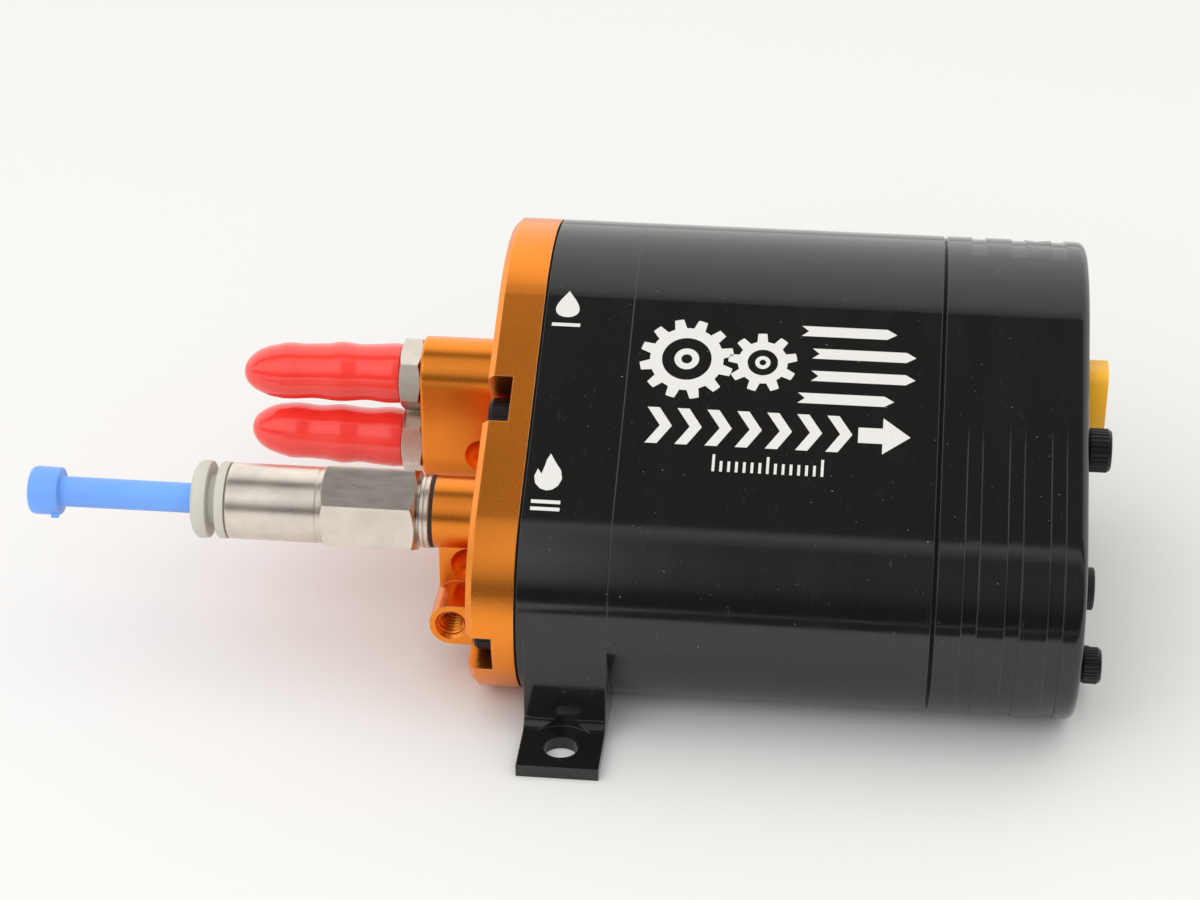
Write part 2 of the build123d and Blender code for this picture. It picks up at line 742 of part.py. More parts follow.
with BuildPart() as board_screws:
    add_discs(standoff_points, board_screw_head_radius, board_back, board_back + board_screw_head_height)
    add_discs(standoff_points, board_screw_radius, housing_back - board_screw_depth, board_back)
save(board_screws, "board_screws")

with BuildPart() as power_transistors:
    with BuildSketch(section(board_back)):
        with Locations((fuel_y + transistor_offset_y, fuel_z + transistor_offset_z)):
            with GridLocations(transistor_pitch, transistor_pitch, transistor_columns, transistor_rows):
                Rectangle(transistor_size, transistor_size)
    extrude(amount=transistor_height)
save(power_transistors, "power_transistors")

with BuildPart() as bus_capacitors:
    add_discs([(fuel_y + offset, fuel_z + fuel_can_radius - capacitor_radius / 4)
               for offset in (-capacitor_pitch / 2, capacitor_pitch / 2)],
              capacitor_radius, board_back, board_back + capacitor_length)
save(bus_capacitors, "bus_capacitors")

with BuildPart() as control_chip:
    with BuildSketch(section(board_back)):
        with Locations((start_idler_centre[0] + chip_size / 4, start_z)):
            Rectangle(chip_size, chip_size)
    extrude(amount=chip_height)
save(control_chip, "control_chip")

# ---- Connectors on the rear face ----
power_end = cap_back + power_stand_out
power_pins = [(power_y, power_z - power_pin_pitch / 2), (power_y, power_z + power_pin_pitch / 2)]
with BuildPart() as power_connector:
    with BuildSketch(section(board_back)):
        with Locations((power_y, power_z)):
            RectangleRounded(power_width, power_height, power_corner)
    extrude(amount=power_end - board_back)
    with BuildSketch(section(power_end)):
        with Locations((power_y, power_z)):
            RectangleRounded(power_width - 2 * power_wall, power_height - 2 * power_wall,
                             power_corner - power_wall)
    extrude(amount=-power_recess, mode=Mode.SUBTRACT)
    drill(power_pins, power_pin_radius, board_back, power_end)
save(power_connector, "power_connector")

with BuildPart() as power_contacts:
    add_discs(power_pins, power_pin_radius, board_back, power_end - power_pin_shortfall)
save(power_contacts, "power_contacts")

socket_end = cap_back + socket_stand_out
socket_pins = [on_circle((start_y, socket_z), socket_pin_circle, 90 + 360 * index / socket_pin_count)
               for index in range(socket_pin_count)]
with BuildPart() as signal_socket:
    add_discs([(start_y, socket_z)], socket_radius, board_back, socket_end)
    fillet(signal_socket.faces().sort_by(Axis.X)[-1].outer_wire().edges(), socket_wall / 2)
    drill([(start_y, socket_z)], socket_radius - socket_wall, socket_end - socket_recess, socket_end)
    drill(socket_pins, socket_pin_radius, board_back, socket_end)
save(signal_socket, "signal_socket")

with BuildPart() as signal_contacts:
    add_discs(socket_pins, socket_pin_radius, board_back, socket_end - socket_wall)
save(signal_contacts, "signal_contacts")


# ---- Hose barbs in the fuel ports, with their vinyl caps ----
def turned(name, profile, centre, bore=None):
    """Revolve a list of (x, radius) points about an axis along X, with an optional bore."""
    axis_line = Axis((0, centre[0], centre[1]), (1, 0, 0))
    with BuildPart() as piece:
        with BuildSketch(Plane(origin=(0, centre[0], centre[1]), x_dir=(1, 0, 0), z_dir=(0, -1, 0))):
            Polygon((profile[0][0], 0), *profile, (profile[-1][0], 0), align=None)
        revolve(axis=axis_line)
        if bore:
            for start, end, radius in bore:
                drill([centre], radius, start, end)
    save(piece, name)


hex_front = fuel_face - barb_hex_length
barb_tip = hex_front - 1.0 - barb_ridge_count * barb_ridge_pitch


def hose_barb(name, centre):
    """Hexagon fitting with a ridged nose for soft tube."""
    with BuildPart() as barb:
        add_discs([centre], fitting_thread_radius, fuel_face, fuel_face + fitting_thread_length)
        with BuildSketch(section(hex_front)):
            with Locations(centre):
                RegularPolygon(barb_hex_flats / 2, 6, major_radius=False)
        extrude(amount=barb_hex_length)
        add_discs([centre], barb_neck_radius, barb_tip, hex_front)
        for index in range(barb_ridge_count):
            ridge = barb_tip + index * barb_ridge_pitch
            with BuildSketch(section(ridge)):
                with Locations(centre):
                    Circle(barb_neck_radius)
            with BuildSketch(section(ridge + barb_ridge_pitch * 0.8)):
                with Locations(centre):
                    Circle(barb_radius)
            loft()
        drill([centre], barb_bore_radius, barb_tip, fuel_face + fitting_thread_length)
    save(barb, name)


def vinyl_cap(name, centre):
    """Soft dust cap that slips over a hose barb, closed at its nose."""
    mouth = hex_front - cap_sleeve_gap
    nose = mouth - cap_sleeve_length
    inner = barb_radius + cap_sleeve_clearance
    outer = inner + cap_sleeve_wall
    cavity_end = barb_tip - cap_sleeve_clearance
    with BuildPart() as sleeve:
        with BuildSketch(Plane(origin=(0, centre[0], centre[1]), x_dir=(1, 0, 0), z_dir=(0, -1, 0))):
            with BuildLine():
                Polyline((mouth, inner), (mouth, outer), (nose + outer, outer))
                CenterArc((nose + outer, 0), outer, 90, 90)
                Polyline((nose, 0), (cavity_end, 0), (cavity_end, inner), (mouth, inner))
            make_face()
        revolve(axis=Axis((0, centre[0], centre[1]), (1, 0, 0)))
    save(sleeve, name)


for port, centre in (("outlet", fuel_ports[0]), ("inlet", fuel_ports[1])):
    hose_barb(f"fuel_{port}_barb", centre)
    vinyl_cap(f"fuel_{port}_cap", centre)

# ---- Push-in tube fitting on the start outlet ----
outlet = start_ports[0]
seal_front = start_face - fitting_seal_thickness
flange_front = seal_front - fitting_flange_thickness
neck_front = flange_front - fitting_neck_length
hex_nose = neck_front - fitting_hex_length
barrel_front = hex_nose - fitting_barrel_length
ring_nose = barrel_front - fitting_ring_length
collar_back = ring_nose - collar_gap
collar_front = collar_back - collar_length
tube_bore = tube_radius + tube_clearance
tube_stop = collar_front + tube_insertion
cartridge_back = barrel_front + collar_sleeve_length + collar_travel + tube_clearance
grab_back = cartridge_back + grab_ring_thickness
tube_seal_back = grab_back + tube_seal_thickness
cartridge_radius = fitting_ring_bore_radius

with BuildPart() as start_fitting_body:
    add_discs([outlet], fitting_thread_radius, start_face, start_face + fitting_thread_length)
    add_discs([outlet], fitting_neck_radius - fitting_seal_thickness / 2, seal_front, start_face)
    add_discs([outlet], fitting_flange_radius, flange_front, seal_front)
    add_discs([outlet], fitting_neck_radius, neck_front, flange_front)
    with BuildSketch(section(hex_nose)):
        with Locations(outlet):
            RegularPolygon(fitting_hex_flats / 2, 6, major_radius=False, rotation=fitting_hex_turn)
            Circle(fitting_hex_corner_radius, mode=Mode.INTERSECT)
    extrude(amount=fitting_hex_length)
    chamfer(start_fitting_body.faces().filter_by(Axis.X).sort_by(SortBy.AREA)[-1].outer_wire().edges(),
            fitting_hex_chamfer)
    add_discs([outlet], fitting_barrel_radius, barrel_front, hex_nose)
    drill([outlet], cartridge_radius, barrel_front, tube_seal_back)
    drill([outlet], tube_bore, barrel_front, tube_stop)
    drill([outlet], port_passage_radius, barrel_front, start_face + fitting_thread_length)
save(start_fitting_body, "start_fitting_body")

with BuildPart() as start_port_seal:
    add_discs([outlet], fitting_seal_radius, seal_front, start_face)
    drill([outlet], fitting_neck_radius - fitting_seal_thickness / 2, seal_front, start_face)
save(start_port_seal, "start_port_seal")

with BuildPart() as start_fitting_ring:
    add_discs([outlet], fitting_ring_radius, ring_nose, barrel_front)
    drill([outlet], cartridge_radius, ring_nose, barrel_front)
save(start_fitting_ring, "start_fitting_ring")

with BuildPart() as start_grab_ring:
    add_discs([outlet], cartridge_radius, cartridge_back, grab_back)
    drill([outlet], tube_bore, cartridge_back, grab_back)
save(start_grab_ring, "start_grab_ring")

with BuildPart() as start_tube_seal:
    add_discs([outlet], cartridge_radius, grab_back, tube_seal_back)
    drill([outlet], tube_bore, grab_back, tube_seal_back)
save(start_tube_seal, "start_tube_seal")

with BuildPart() as start_release_collar:
    add_discs([outlet], collar_radius, collar_front, collar_back)
    fillet(start_release_collar.faces().sort_by(Axis.X)[0].outer_wire().edges(), collar_length / 3)
    add_discs([outlet], collar_sleeve_radius, collar_back, barrel_front + collar_sleeve_length)
    drill([outlet], tube_bore, collar_front, barrel_front + collar_sleeve_length)
save(start_release_collar, "start_release_collar")

plug_shoulder = collar_front - plug_grip_length
plug_end = plug_shoulder - plug_head_length
with BuildPart() as start_plug:
    add_discs([outlet], plug_head_radius, plug_end, plug_shoulder)
    fillet(start_plug.edges().filter_by(GeomType.CIRCLE), plug_head_length / 8)
    add_discs([outlet], tube_radius, plug_shoulder, tube_stop - tube_clearance)
save(start_plug, "start_plug")
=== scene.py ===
"""Twin gear pump of a model jet turbine: looks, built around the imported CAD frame. Metres, +Z up."""
import json
import math

import bmesh
import bpy
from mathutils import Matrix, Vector


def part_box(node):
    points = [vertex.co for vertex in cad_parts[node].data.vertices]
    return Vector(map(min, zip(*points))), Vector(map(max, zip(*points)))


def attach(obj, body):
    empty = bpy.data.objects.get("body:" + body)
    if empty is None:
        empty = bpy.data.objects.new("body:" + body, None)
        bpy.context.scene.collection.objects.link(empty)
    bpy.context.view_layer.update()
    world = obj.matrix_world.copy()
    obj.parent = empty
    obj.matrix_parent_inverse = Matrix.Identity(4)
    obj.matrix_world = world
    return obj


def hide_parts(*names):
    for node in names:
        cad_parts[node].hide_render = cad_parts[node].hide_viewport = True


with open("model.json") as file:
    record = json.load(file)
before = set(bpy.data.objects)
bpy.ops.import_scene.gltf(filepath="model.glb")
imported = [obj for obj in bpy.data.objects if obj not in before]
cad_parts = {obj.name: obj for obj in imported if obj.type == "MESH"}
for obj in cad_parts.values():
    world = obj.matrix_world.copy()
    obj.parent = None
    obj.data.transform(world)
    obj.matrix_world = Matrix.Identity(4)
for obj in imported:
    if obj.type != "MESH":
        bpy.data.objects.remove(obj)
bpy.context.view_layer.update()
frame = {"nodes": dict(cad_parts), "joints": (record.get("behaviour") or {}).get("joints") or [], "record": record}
mm = 0.001


# ---- Places read from the frame ----
def joint_axis(name):
    """Where a joint's axis stands across the body, as (y, z)."""
    point = next(joint for joint in frame["joints"] if joint["name"] == name)["pos_m"]
    return point[1], point[2]


def span(node):
    """Middle of a node across the body, and its lowest and highest x."""
    low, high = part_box(node)
    return ((low.y + high.y) / 2, (low.z + high.z) / 2), low.x, high.x


def solids(node):
    """Boxes of the separate solids in one node, as (low, high) pairs in a fixed order."""
    mesh = bmesh.new()
    mesh.from_mesh(frame["nodes"][node].data)
    bmesh.ops.remove_doubles(mesh, verts=mesh.verts, dist=0.001 * mm)
    left = set(mesh.verts)
    boxes = []
    while left:
        island, edge_of_search = set(), [next(iter(left))]
        while edge_of_search:
            vert = edge_of_search.pop()
            if vert not in island:
                island.add(vert)
                edge_of_search += [edge.other_vert(vert) for edge in vert.link_edges]
        left -= island
        corners = [[vert.co[axis] for vert in island] for axis in range(3)]
        boxes.append((Vector(map(min, corners)), Vector(map(max, corners))))
    mesh.free()
    return sorted(boxes, key=lambda pair: (round(pair[0].y, 5), round(pair[0].z, 5), pair[0].x))


fuel_y, fuel_z = joint_axis("fuel_rotor_spin")
start_y, start_z = joint_axis("start_rotor_spin")


# ---- Shader helpers ----
def socket_name(key):
    """Input name of a shader socket from a keyword."""
    return key.replace("_", " ").title().replace("Ior", "IOR")


def material(name, colour, metallic=0.0, roughness=0.4, **inputs):
    """New material with its principled shader set."""
    made = bpy.data.materials.new(name)
    made.use_nodes = True
    shader = made.node_tree.nodes["Principled BSDF"]
    shader.inputs["Base Color"].default_value = (*colour, 1)
    shader.inputs["Metallic"].default_value = metallic
    shader.inputs["Roughness"].default_value = roughness
    for key, value in inputs.items():
        shader.inputs[socket_name(key)].default_value = value
    return made


def node(made, kind, links=(), **values):
    """Adds a shader node, sets its fields or inputs and links its inputs."""
    tree = made.node_tree
    added = tree.nodes.new(kind)
    for key, value in values.items():
        if hasattr(added, key):
            setattr(added, key, value)
        else:
            added.inputs[socket_name(key)].default_value = value
    for socket, source in dict(links).items():
        tree.links.new(source, added.inputs[socket])
    return added


def place(made, stretch=(1, 1, 1)):
    """Object coordinates, stretched along the axes."""
    coordinates = node(made, "ShaderNodeTexCoord")
    mapping = node(made, "ShaderNodeMapping", {"Vector": coordinates.outputs["Object"]})
    mapping.inputs["Scale"].default_value = stretch
    return mapping.outputs["Vector"]


def noise(made, scale, stretch=(1, 1, 1), detail=3.0, roughness=0.55):
    """Noise value, with the scale in cells for each metre."""
    made_noise = node(made, "ShaderNodeTexNoise", {"Vector": place(made, stretch)}, scale=scale,
                      detail=detail, roughness=roughness)
    return made_noise.outputs["Fac"]


def remap(made, source, low, high, to_low, to_high):
    """Value moved from one range to another, clamped."""
    mapped = node(made, "ShaderNodeMapRange", {"Value": source})
    for index, value in enumerate((low, high, to_low, to_high)):
        mapped.inputs[index + 1].default_value = value
    return mapped.outputs["Result"]


def blend(made, factor, first, second):
    """Mix of two colours by a value; each is a tuple or a socket."""
    mix = node(made, "ShaderNodeMix", data_type="RGBA")
    made.node_tree.links.new(factor, mix.inputs[0])
    for index, colour in ((6, first), (7, second)):
        if isinstance(colour, tuple):
            mix.inputs[index].default_value = (*colour, 1)
        else:
            made.node_tree.links.new(colour, mix.inputs[index])
    return mix.outputs[2]


def bump(made, height, strength, distance=0.01 * mm, normal=None):
    """Bumped normal from a height value."""
    links = {"Height": height}
    if normal is not None:
        links["Normal"] = normal
    return node(made, "ShaderNodeBump", links, strength=strength, distance=distance).outputs["Normal"]


def edges(made, radius):
    """Rounded normal, and a value that is high where an edge is near."""
    soft = node(made, "ShaderNodeBevel", samples=4, radius=radius).outputs["Normal"]
    plain = node(made, "ShaderNodeNewGeometry").outputs["Normal"]
    facing = node(made, "ShaderNodeVectorMath", {0: soft, 1: plain}, operation="DOT_PRODUCT")
    return soft, remap(made, facing.outputs["Value"], 0.97, 0.8, 0.0, 1.0)


def scratches(made, scale, direction, width):
    """Thin random lines: high on a scratch, nought elsewhere."""
    lines = noise(made, scale, direction, 1.0)
    thin = node(made, "ShaderNodeMath", {0: lines}, operation="SUBTRACT")
    thin.inputs[1].default_value = 0.5
    size = node(made, "ShaderNodeMath", {0: thin.outputs[0]}, operation="ABSOLUTE")
    return remap(made, size.outputs[0], 0.0, width, 1.0, 0.0)


def times(made, first, second):
    """Product of two values."""
    return node(made, "ShaderNodeMath", {0: first, 1: second}, operation="MULTIPLY").outputs[0]


def plug_in(made, **sockets):
    """Links sockets of the principled shader."""
    shader = made.node_tree.nodes["Principled BSDF"]
    for key, source in sockets.items():
        made.node_tree.links.new(source, shader.inputs[socket_name(key)])
    return made


# ---- Materials ----
def anodised(name, colour, worn, roughness, coat, edge_radius=0.16 * mm):
    """Dyed anodised aluminium: fine etched grain, paler edges and a little dye variation."""
    made = material(name, colour, 1.0, roughness, coat_weight=coat, coat_roughness=0.2)
    soft, edge = edges(made, edge_radius)
    patches = remap(made, noise(made, 90, detail=2.0), 0.3, 0.7, 0.0, 1.0)
    darker = tuple(value * 0.86 for value in colour)
    dye = blend(made, patches, colour, darker)
    grain = noise(made, 9000, detail=2.0)
    return plug_in(made, base_color=blend(made, edge, dye, worn),
                   roughness=remap(made, grain, 0.3, 0.7, roughness - 0.05, roughness + 0.07),
                   normal=bump(made, grain, 0.12, 0.004 * mm, soft))


def gloss_black(name):
    """Polished black anodised aluminium with hairline scratches and settled dust."""
    made = material(name, (0.008, 0.0078, 0.0075), 0.0, 0.1, specular_ior_level=0.62)
    soft, edge = edges(made, 0.2 * mm)
    broken = remap(made, noise(made, 420, detail=1.0), 0.56, 0.66, 0.0, 1.0)
    across = times(made, scratches(made, 260, (9, 1, 1), 0.004), broken)
    specks = remap(made, noise(made, 2600, detail=1.0), 0.78, 0.82, 0.0, 1.0)
    marked = blend(made, across, (0.008, 0.0078, 0.0075), (0.055, 0.05, 0.045))
    dusty = blend(made, specks, marked, (0.2, 0.19, 0.17))
    worn = blend(made, remap(made, edge, 0.0, 1.0, 0.0, 0.5), dusty, (0.1, 0.1, 0.1))
    haze = noise(made, 160, (1, 0.3, 0.3), 4.0)
    return plug_in(made, base_color=worn, roughness=remap(made, haze, 0.3, 0.75, 0.07, 0.17),
                   normal=bump(made, noise(made, 5000, detail=2.0), 0.03, 0.003 * mm, soft))


def plated(name, colour, low, high, lines=(1, 1, 1), tooling=0.1):
    """Bright plated or machined metal, with a lay of tool lines and slight stains."""
    made = material(name, colour, 1.0, (low + high) / 2)
    soft, edge = edges(made, 0.1 * mm)
    lay = noise(made, 1500, lines, 4.0)
    stain = remap(made, noise(made, 260, detail=3.0), 0.35, 0.75, 0.0, 1.0)
    stained = blend(made, stain, colour, tuple(value * 0.82 for value in colour))
    brighter = tuple(min(1, value * 1.2) for value in colour)
    return plug_in(made, base_color=blend(made, edge, stained, brighter),
                   roughness=remap(made, lay, 0.3, 0.7, low, high),
                   normal=bump(made, lay, tooling, 0.006 * mm, soft))


def plastic(name, colour, roughness, dark=0.85, texture=0.1, grain_scale=2500, **inputs):
    """Moulded plastic: orange peel, slight flow shading and uneven gloss."""
    made = material(name, colour, 0.0, roughness, **inputs)
    flow = remap(made, noise(made, 130, (0.5, 1, 1), 2.0), 0.3, 0.7, 0.0, 1.0)
    peel = noise(made, grain_scale, detail=2.0)
    return plug_in(made, base_color=blend(made, flow, colour, tuple(value * dark for value in colour)),
                   roughness=remap(made, peel, 0.3, 0.7, roughness - 0.05, roughness + 0.08),
                   normal=bump(made, peel, texture, 0.02 * mm))


def black_oxide():
    """Black oxide steel: oily dark skin, brighter on the knurl's tips."""
    made = material("black_oxide_steel", (0.03, 0.03, 0.032), 0.9, 0.34)
    soft, edge = edges(made, 0.08 * mm)
    skin = noise(made, 2200, detail=3.0)
    worn = blend(made, remap(made, edge, 0, 1, 0, 0.7), (0.028, 0.028, 0.03), (0.2, 0.19, 0.18))
    return plug_in(made, base_color=worn,
                   roughness=remap(made, skin, 0.3, 0.7, 0.26, 0.46),
                   normal=bump(made, skin, 0.15, 0.01 * mm, soft))


def laser_white():
    """Pale laser marking: rough, with the beam's fine scan bands."""
    made = material("laser_marking", (0.72, 0.71, 0.67), 0.0, 0.62)
    bands = node(made, "ShaderNodeTexWave", {"Vector": place(made)}, scale=1500, distortion=1.5, detail=2.0)
    pits = remap(made, noise(made, 6000, detail=2.0), 0.35, 0.7, 0.0, 1.0)
    banded = blend(made, bands.outputs["Fac"], (0.78, 0.77, 0.73), (0.58, 0.57, 0.54))
    return plug_in(made, base_color=blend(made, pits, banded, (0.66, 0.65, 0.62)),
                   normal=bump(made, noise(made, 6000, detail=2.0), 0.3, 0.01 * mm))


def circuit_board():
    """Green solder mask over faint copper tracks."""
    made = material("solder_mask", (0.015, 0.13, 0.05), 0.0, 0.3)
    tracks = node(made, "ShaderNodeTexBrick", {"Vector": place(made)}, scale=400)
    tracks.inputs["Color1"].default_value = (0.012, 0.12, 0.045, 1)
    tracks.inputs["Color2"].default_value = (0.02, 0.17, 0.065, 1)
    tracks.inputs["Mortar"].default_value = (0.05, 0.26, 0.1, 1)
    return plug_in(made, base_color=tracks.outputs["Color"], normal=bump(made, noise(made, 3000), 0.1))


def windings():
    """Enamelled copper wire, laid turn on turn."""
    made = material("enamelled_copper", (0.62, 0.22, 0.08), 1.0, 0.3)
    turns = node(made, "ShaderNodeTexWave", {"Vector": place(made)}, scale=900, distortion=0.4)
    return plug_in(made, base_color=blend(made, turns.outputs["Fac"], (0.7, 0.27, 0.1), (0.4, 0.12, 0.04)),
                   normal=bump(made, turns.outputs["Fac"], 0.5, 0.1 * mm))


orange = anodised("orange_anodised_metal", (1.0, 0.3, 0.03), (1.0, 0.55, 0.26), 0.3, 0.2)
black = gloss_black("black_anodised_metal")
steel_black = black_oxide()
nickel = plated("nickel_plating", (0.8, 0.73, 0.65), 0.27, 0.33, (0.2, 1, 1), 0.03)
ground_steel = plated("ground_steel", (0.56, 0.56, 0.57), 0.2, 0.35, (0.2, 1, 1))
turned_aluminium = plated("turned_aluminium", (0.6, 0.6, 0.62), 0.25, 0.42, (6, 1, 1))
laminations = plated("laminated_iron", (0.2, 0.2, 0.21), 0.4, 0.55, (12, 0.3, 0.3))
magnet = plated("magnet_nickel", (0.62, 0.61, 0.58), 0.15, 0.25)
brass = plated("plated_brass", (0.85, 0.6, 0.22), 0.16, 0.3)
marking = laser_white()
vinyl = plastic("dipped_vinyl", (0.95, 0.05, 0.035), 0.14, 0.93, 0.06, 700, subsurface_weight=0.25,
                subsurface_scale=0.8 * mm, coat_weight=0.6, coat_roughness=0.08)
off_white = plastic("off_white_plastic", (0.58, 0.56, 0.5), 0.42, 0.95, 0.08, subsurface_weight=0.15,
                    subsurface_scale=0.6 * mm)
blue = plastic("blue_nylon", (0.17, 0.4, 0.97), 0.34, 0.9, 0.06, subsurface_weight=0.3,
               subsurface_scale=1.2 * mm)
amber = plastic("amber_nylon", (0.98, 0.5, 0.02), 0.36, 0.9, 0.08, subsurface_weight=0.2,
                subsurface_scale=0.8 * mm)
rubber = plastic("black_rubber", (0.016, 0.016, 0.016), 0.62, 0.8, 0.35, 4000)
chip = plastic("chip_plastic", (0.02, 0.02, 0.021), 0.55, 0.8, 0.3, 5000)
sleeve = plastic("capacitor_sleeve", (0.02, 0.03, 0.09), 0.3, 0.9, 0.05)
board = circuit_board()
copper = windings()

by_slot = {
    "orange_anodised": orange, "black_anodised": black, "black_steel": steel_black, "gasket_rubber": rubber,
    "hard_steel": ground_steel, "motor_aluminium": turned_aluminium, "motor_iron": laminations,
    "magnet_nickel": magnet, "copper": copper, "board_green": board, "chip_black": chip,
    "capacitor_sleeve": sleeve, "brass": brass, "yellow_nylon": amber, "nickel_plate": nickel,
    "red_vinyl": vinyl, "white_plastic": off_white, "blue_nylon": blue,
}
slot_of = {part["node"]: part["material_slot"] for part in frame["record"]["subparts"]}
for name, part in frame["nodes"].items():
    part.data.materials.clear()
    part.data.materials.append(by_slot[slot_of[name]])


# ---- Mesh helpers ----
def finish_piece(name, mesh, surface, body, replaced=(), sharp=35):
    """Turns a bmesh into a shaded piece that rides on its body."""
    bmesh.ops.remove_doubles(mesh, verts=mesh.verts, dist=0.0005 * mm)
    bmesh.ops.recalc_face_normals(mesh, faces=mesh.faces)
    data = bpy.data.meshes.new(name)
    mesh.to_mesh(data)
    mesh.free()
    data.shade_smooth()
    data.set_sharp_from_angle(angle=math.radians(sharp))
    data.materials.append(surface)
    piece = bpy.data.objects.new(name, data)
    bpy.context.scene.collection.objects.link(piece)
    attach(piece, body)
    if replaced:
        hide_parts(*replaced)
    return piece


def turn(mesh, centre, profile, columns=96, bend=None):
    """Closed solid turned about an axis along X. A profile entry is (x, radius), and both may be functions
    of the angle; a radius of nought closes the end in one point."""
    rings = []
    for x, radius in profile:
        if radius == 0:
            ring = [Vector((x, *centre))]
        else:
            ring = []
            for index in range(columns):
                angle = 2 * math.pi * index / columns
                r = radius(angle) if callable(radius) else radius
                along = x(angle) if callable(x) else x
                ring.append(Vector((along, centre[0] + r * math.cos(angle), centre[1] + r * math.sin(angle))))
        rings.append([mesh.verts.new(bend(point) if bend else point) for point in ring])
    closed = profile[0][1] != 0
    pairs = list(zip(rings, rings[1:] + rings[:1])) if closed else list(zip(rings, rings[1:]))
    for first, second in pairs:
        for index in range(columns):
            after = (index + 1) % columns
            if len(first) == 1 and len(second) == 1:
                break
            if len(first) == 1:
                mesh.faces.new((first[0], second[index], second[after]))
            elif len(second) == 1:
                mesh.faces.new((first[index], first[after], second[0]))
            else:
                mesh.faces.new((first[index], first[after], second[after], second[index]))


def rounded(points, steps=4):
    """Profile with its corners rounded. An entry is (x, radius, corner), corner being the cut's size."""
    path = []
    for index, (x, r, corner) in enumerate(points):
        if corner == 0 or index in (0, len(points) - 1):
            path.append((x, r))
            continue
        here = Vector((x, r))
        before = Vector(points[index - 1][:2]) - here
        after = Vector(points[index + 1][:2]) - here
        start = here + before.normalized() * min(corner, before.length / 2)
        end = here + after.normalized() * min(corner, after.length / 2)
        for step in range(steps + 1):
            t = step / steps
            bent = start * (1 - t) ** 2 + here * 2 * t * (1 - t) + end * t ** 2
            path.append((bent.x, bent.y))
    return path


def hexagon(flats, turned=0.0):
    """Radius of a hexagon at an angle, a corner of it standing at the turned angle."""
    def radius(angle):
        from_corner = (angle - turned) % (math.pi / 3) - math.pi / 6
        return flats / 2 / math.cos(from_corner)
    return radius


def chamfered_hexagon(front, back, flats, face, turned, slope=0.5):
    """Rows of a hexagon whose ends are turned down to a face radius by a cone."""
    shape = hexagon(flats, turned)

    def inset(angle):
        return max(0.02 * mm, (shape(angle) - face) * slope)

    return [(front, lambda angle: min(face, shape(angle))), (lambda angle: front + inset(angle), shape),
            (lambda angle: back - inset(angle), shape), (back, lambda angle: min(face, shape(angle)))]


# ---- Socket cap screws ----
def socket_screws(name, thread_radius, key_flats, back):
    """The screws of one node, each with a knurled head, a hexagon socket and a shank.
    Heads face -X, or +X on the rear face."""
    mesh = bmesh.new()
    for low, high in solids(name):
        centre = ((low.y + high.y) / 2, (low.z + high.z) / 2)
        head_radius = (high.z - low.z) / 2
        head_length = 2 * thread_radius if thread_radius > 1.3 * mm else 2.5 * mm
        top, foot, inward = (high.x, low.x, -1) if back else (low.x, high.x, 1)
        key = hexagon(key_flats, 0.3 + 7 * low.y / mm)
        ridges = 30

        def knurl(angle, outer=head_radius):
            return outer - 0.09 * mm * abs((angle * ridges / (2 * math.pi)) % 1 - 0.5) * 2

        def at(depth, start=top, way=inward):
            return start + way * depth

        profile = [
            (at(0), lambda angle, shape=key: shape(angle) + 0.12 * mm), (at(0), head_radius - 0.45 * mm),
            (at(0.12 * mm), head_radius - 0.22 * mm), (at(0.4 * mm), head_radius - 0.1 * mm),
            (at(0.46 * mm), knurl),
            (at(head_length - 0.4 * mm), knurl), (at(head_length - 0.34 * mm), head_radius - 0.1 * mm),
            (at(head_length - 0.1 * mm), head_radius - 0.14 * mm), (at(head_length), head_radius - 0.25 * mm),
            (at(head_length), thread_radius), (foot - inward * 0.4 * mm, thread_radius),
            (foot, thread_radius - 0.4 * mm), (foot, 0),
        ]
        socket = [(at(head_length * 0.5 + 0.5 * mm), 0), (at(head_length * 0.5), key),
                  (at(0.12 * mm), key)]
        turn(mesh, centre, socket + profile, columns=120)
    return finish_piece(f"{name}_turned", mesh, steel_black, "pump_body", [name], 28)


socket_screws("front_screws_m3", 1.5 * mm, 2.5 * mm, False)
socket_screws("front_screws_m2_5", 1.25 * mm, 2.0 * mm, False)
socket_screws("rear_screws_m3", 1.5 * mm, 2.5 * mm, True)
socket_screws("rear_screws_m2_5", 1.25 * mm, 2.0 * mm, True)

# ---- Hose barbs ----
barb_hex_length = 2.8 * mm
barb_thread = 5.5 * mm
barb_flats = 8.5 * mm
barb_hex_turn = math.radians(17.3)
barb_pitch = 2.8 * mm


def hose_barb(name):
    """Hexagon with turned ends, a ridged nose for soft hose, a thread and a bore."""
    centre, tip, end = span(name)
    hex_back = end - barb_thread
    hex_front = hex_back - barb_hex_length
    bore, neck, crest, thread = 1.2 * mm, 1.9 * mm, 2.4 * mm, 2.5 * mm
    profile = [(tip, bore), (tip, neck - 0.2 * mm), (tip + 0.15 * mm, neck)]
    for index in range(4):
        ridge = tip + index * barb_pitch
        profile += [(ridge + 0.1 * mm, neck), (ridge + barb_pitch * 0.76, crest - 0.06 * mm),
                    (ridge + barb_pitch * 0.8, crest), (ridge + barb_pitch * 0.84, crest - 0.08 * mm),
                    (ridge + barb_pitch * 0.84, neck)]
    profile += [(hex_front, neck)]
    profile += chamfered_hexagon(hex_front, hex_back, barb_flats, barb_flats / 2 - 0.05 * mm,
                                 barb_hex_turn, 0.45)
    profile += [(hex_back, thread), (end - 0.4 * mm, thread), (end, thread - 0.4 * mm), (end, bore)]
    mesh = bmesh.new()
    turn(mesh, centre, profile, 144)
    return finish_piece(f"{name}_turned", mesh, nickel, "pump_body", [name], 20)


for port in ("outlet", "inlet"):
    hose_barb(f"fuel_{port}_barb")


